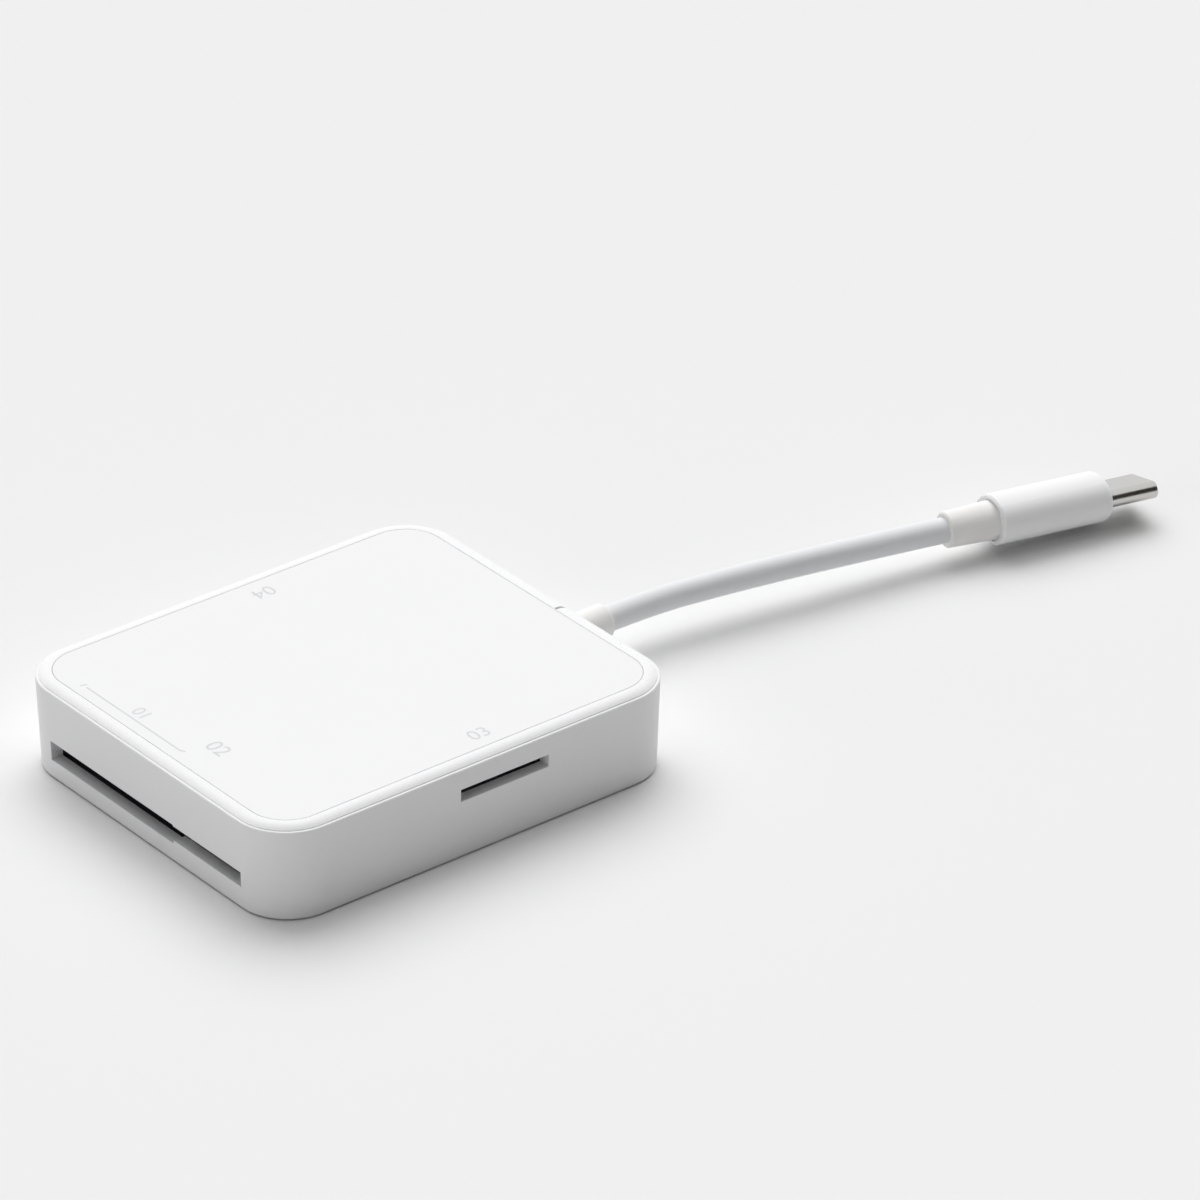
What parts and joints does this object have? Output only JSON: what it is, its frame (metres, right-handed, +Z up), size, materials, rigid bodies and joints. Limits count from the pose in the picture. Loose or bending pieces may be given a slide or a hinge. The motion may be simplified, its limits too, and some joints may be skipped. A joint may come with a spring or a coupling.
{
  "type": "usb memory card reader",
  "caption": "White desktop memory card reader: rounded case with card bays on three sides, flush top plate and a short captive cable with a metal-shelled plug.",
  "frame": {"origin": "on the table, under the middle of the case; cable and plug are left out", "axes": "+Z up, +Y from the front bays to the cable, +X to the side with the small card slot"},
  "size_m": [0.0604, 0.1688, 0.0145],
  "materials": {
    "case_plastic": "white, fine matte texture",
    "plate_plastic": "white, satin",
    "pipe_plastic": "smoke grey, clear",
    "board_laminate": "green solder mask",
    "screw_steel": "plated steel",
    "socket_steel": "stamped steel sheet",
    "socket_plastic": "black moulded",
    "contact_gold": "gold-plated",
    "chip_plastic": "black moulding compound",
    "crystal_can": "pressed can",
    "capacitor_ceramic": "tan ceramic",
    "resistor_ceramic": "black ceramic",
    "lamp_resin": "clear resin",
    "wire_jacket": "coloured insulation",
    "cable_jacket": "white soft jacket",
    "soft_plastic": "off-white, soft",
    "plug_plastic": "white, satin",
    "plug_steel": "bright nickel plating",
    "liner_plastic": "black moulded"
  },
  "bodies": {
    "root": {"lower_case": "case_plastic", "upper_cover": "case_plastic", "top_plate": "plate_plastic", "light_pipe": "pipe_plastic", "circuit_board": "board_laminate", "board_screws": "screw_steel", "narrow_bay_shell": "socket_steel", "left_socket_shell": "socket_steel", "right_socket_shell": "socket_steel", "narrow_bay_base": "socket_plastic", "left_socket_base": "socket_plastic", "right_socket_base": "socket_plastic", "wide_bay_frame": "socket_plastic", "narrow_bay_contacts": "contact_gold", "left_socket_contacts": "contact_gold", "right_socket_contacts": "contact_gold", "wide_bay_pins": "contact_gold", "plug_contacts": "contact_gold", "controller_chip": "chip_plastic", "regulator": "chip_plastic", "crystal": "crystal_can", "capacitors": "capacitor_ceramic", "resistors": "resistor_ceramic", "status_lamp": "lamp_resin", "lead_wires": "wire_jacket", "cable": "cable_jacket", "cable_grommet": "soft_plastic", "plug_collar": "soft_plastic", "plug_body": "plug_plastic", "plug_shell": "plug_steel", "plug_latches": "plug_steel", "plug_liner": "liner_plastic"}
  },
  "joints": []
}
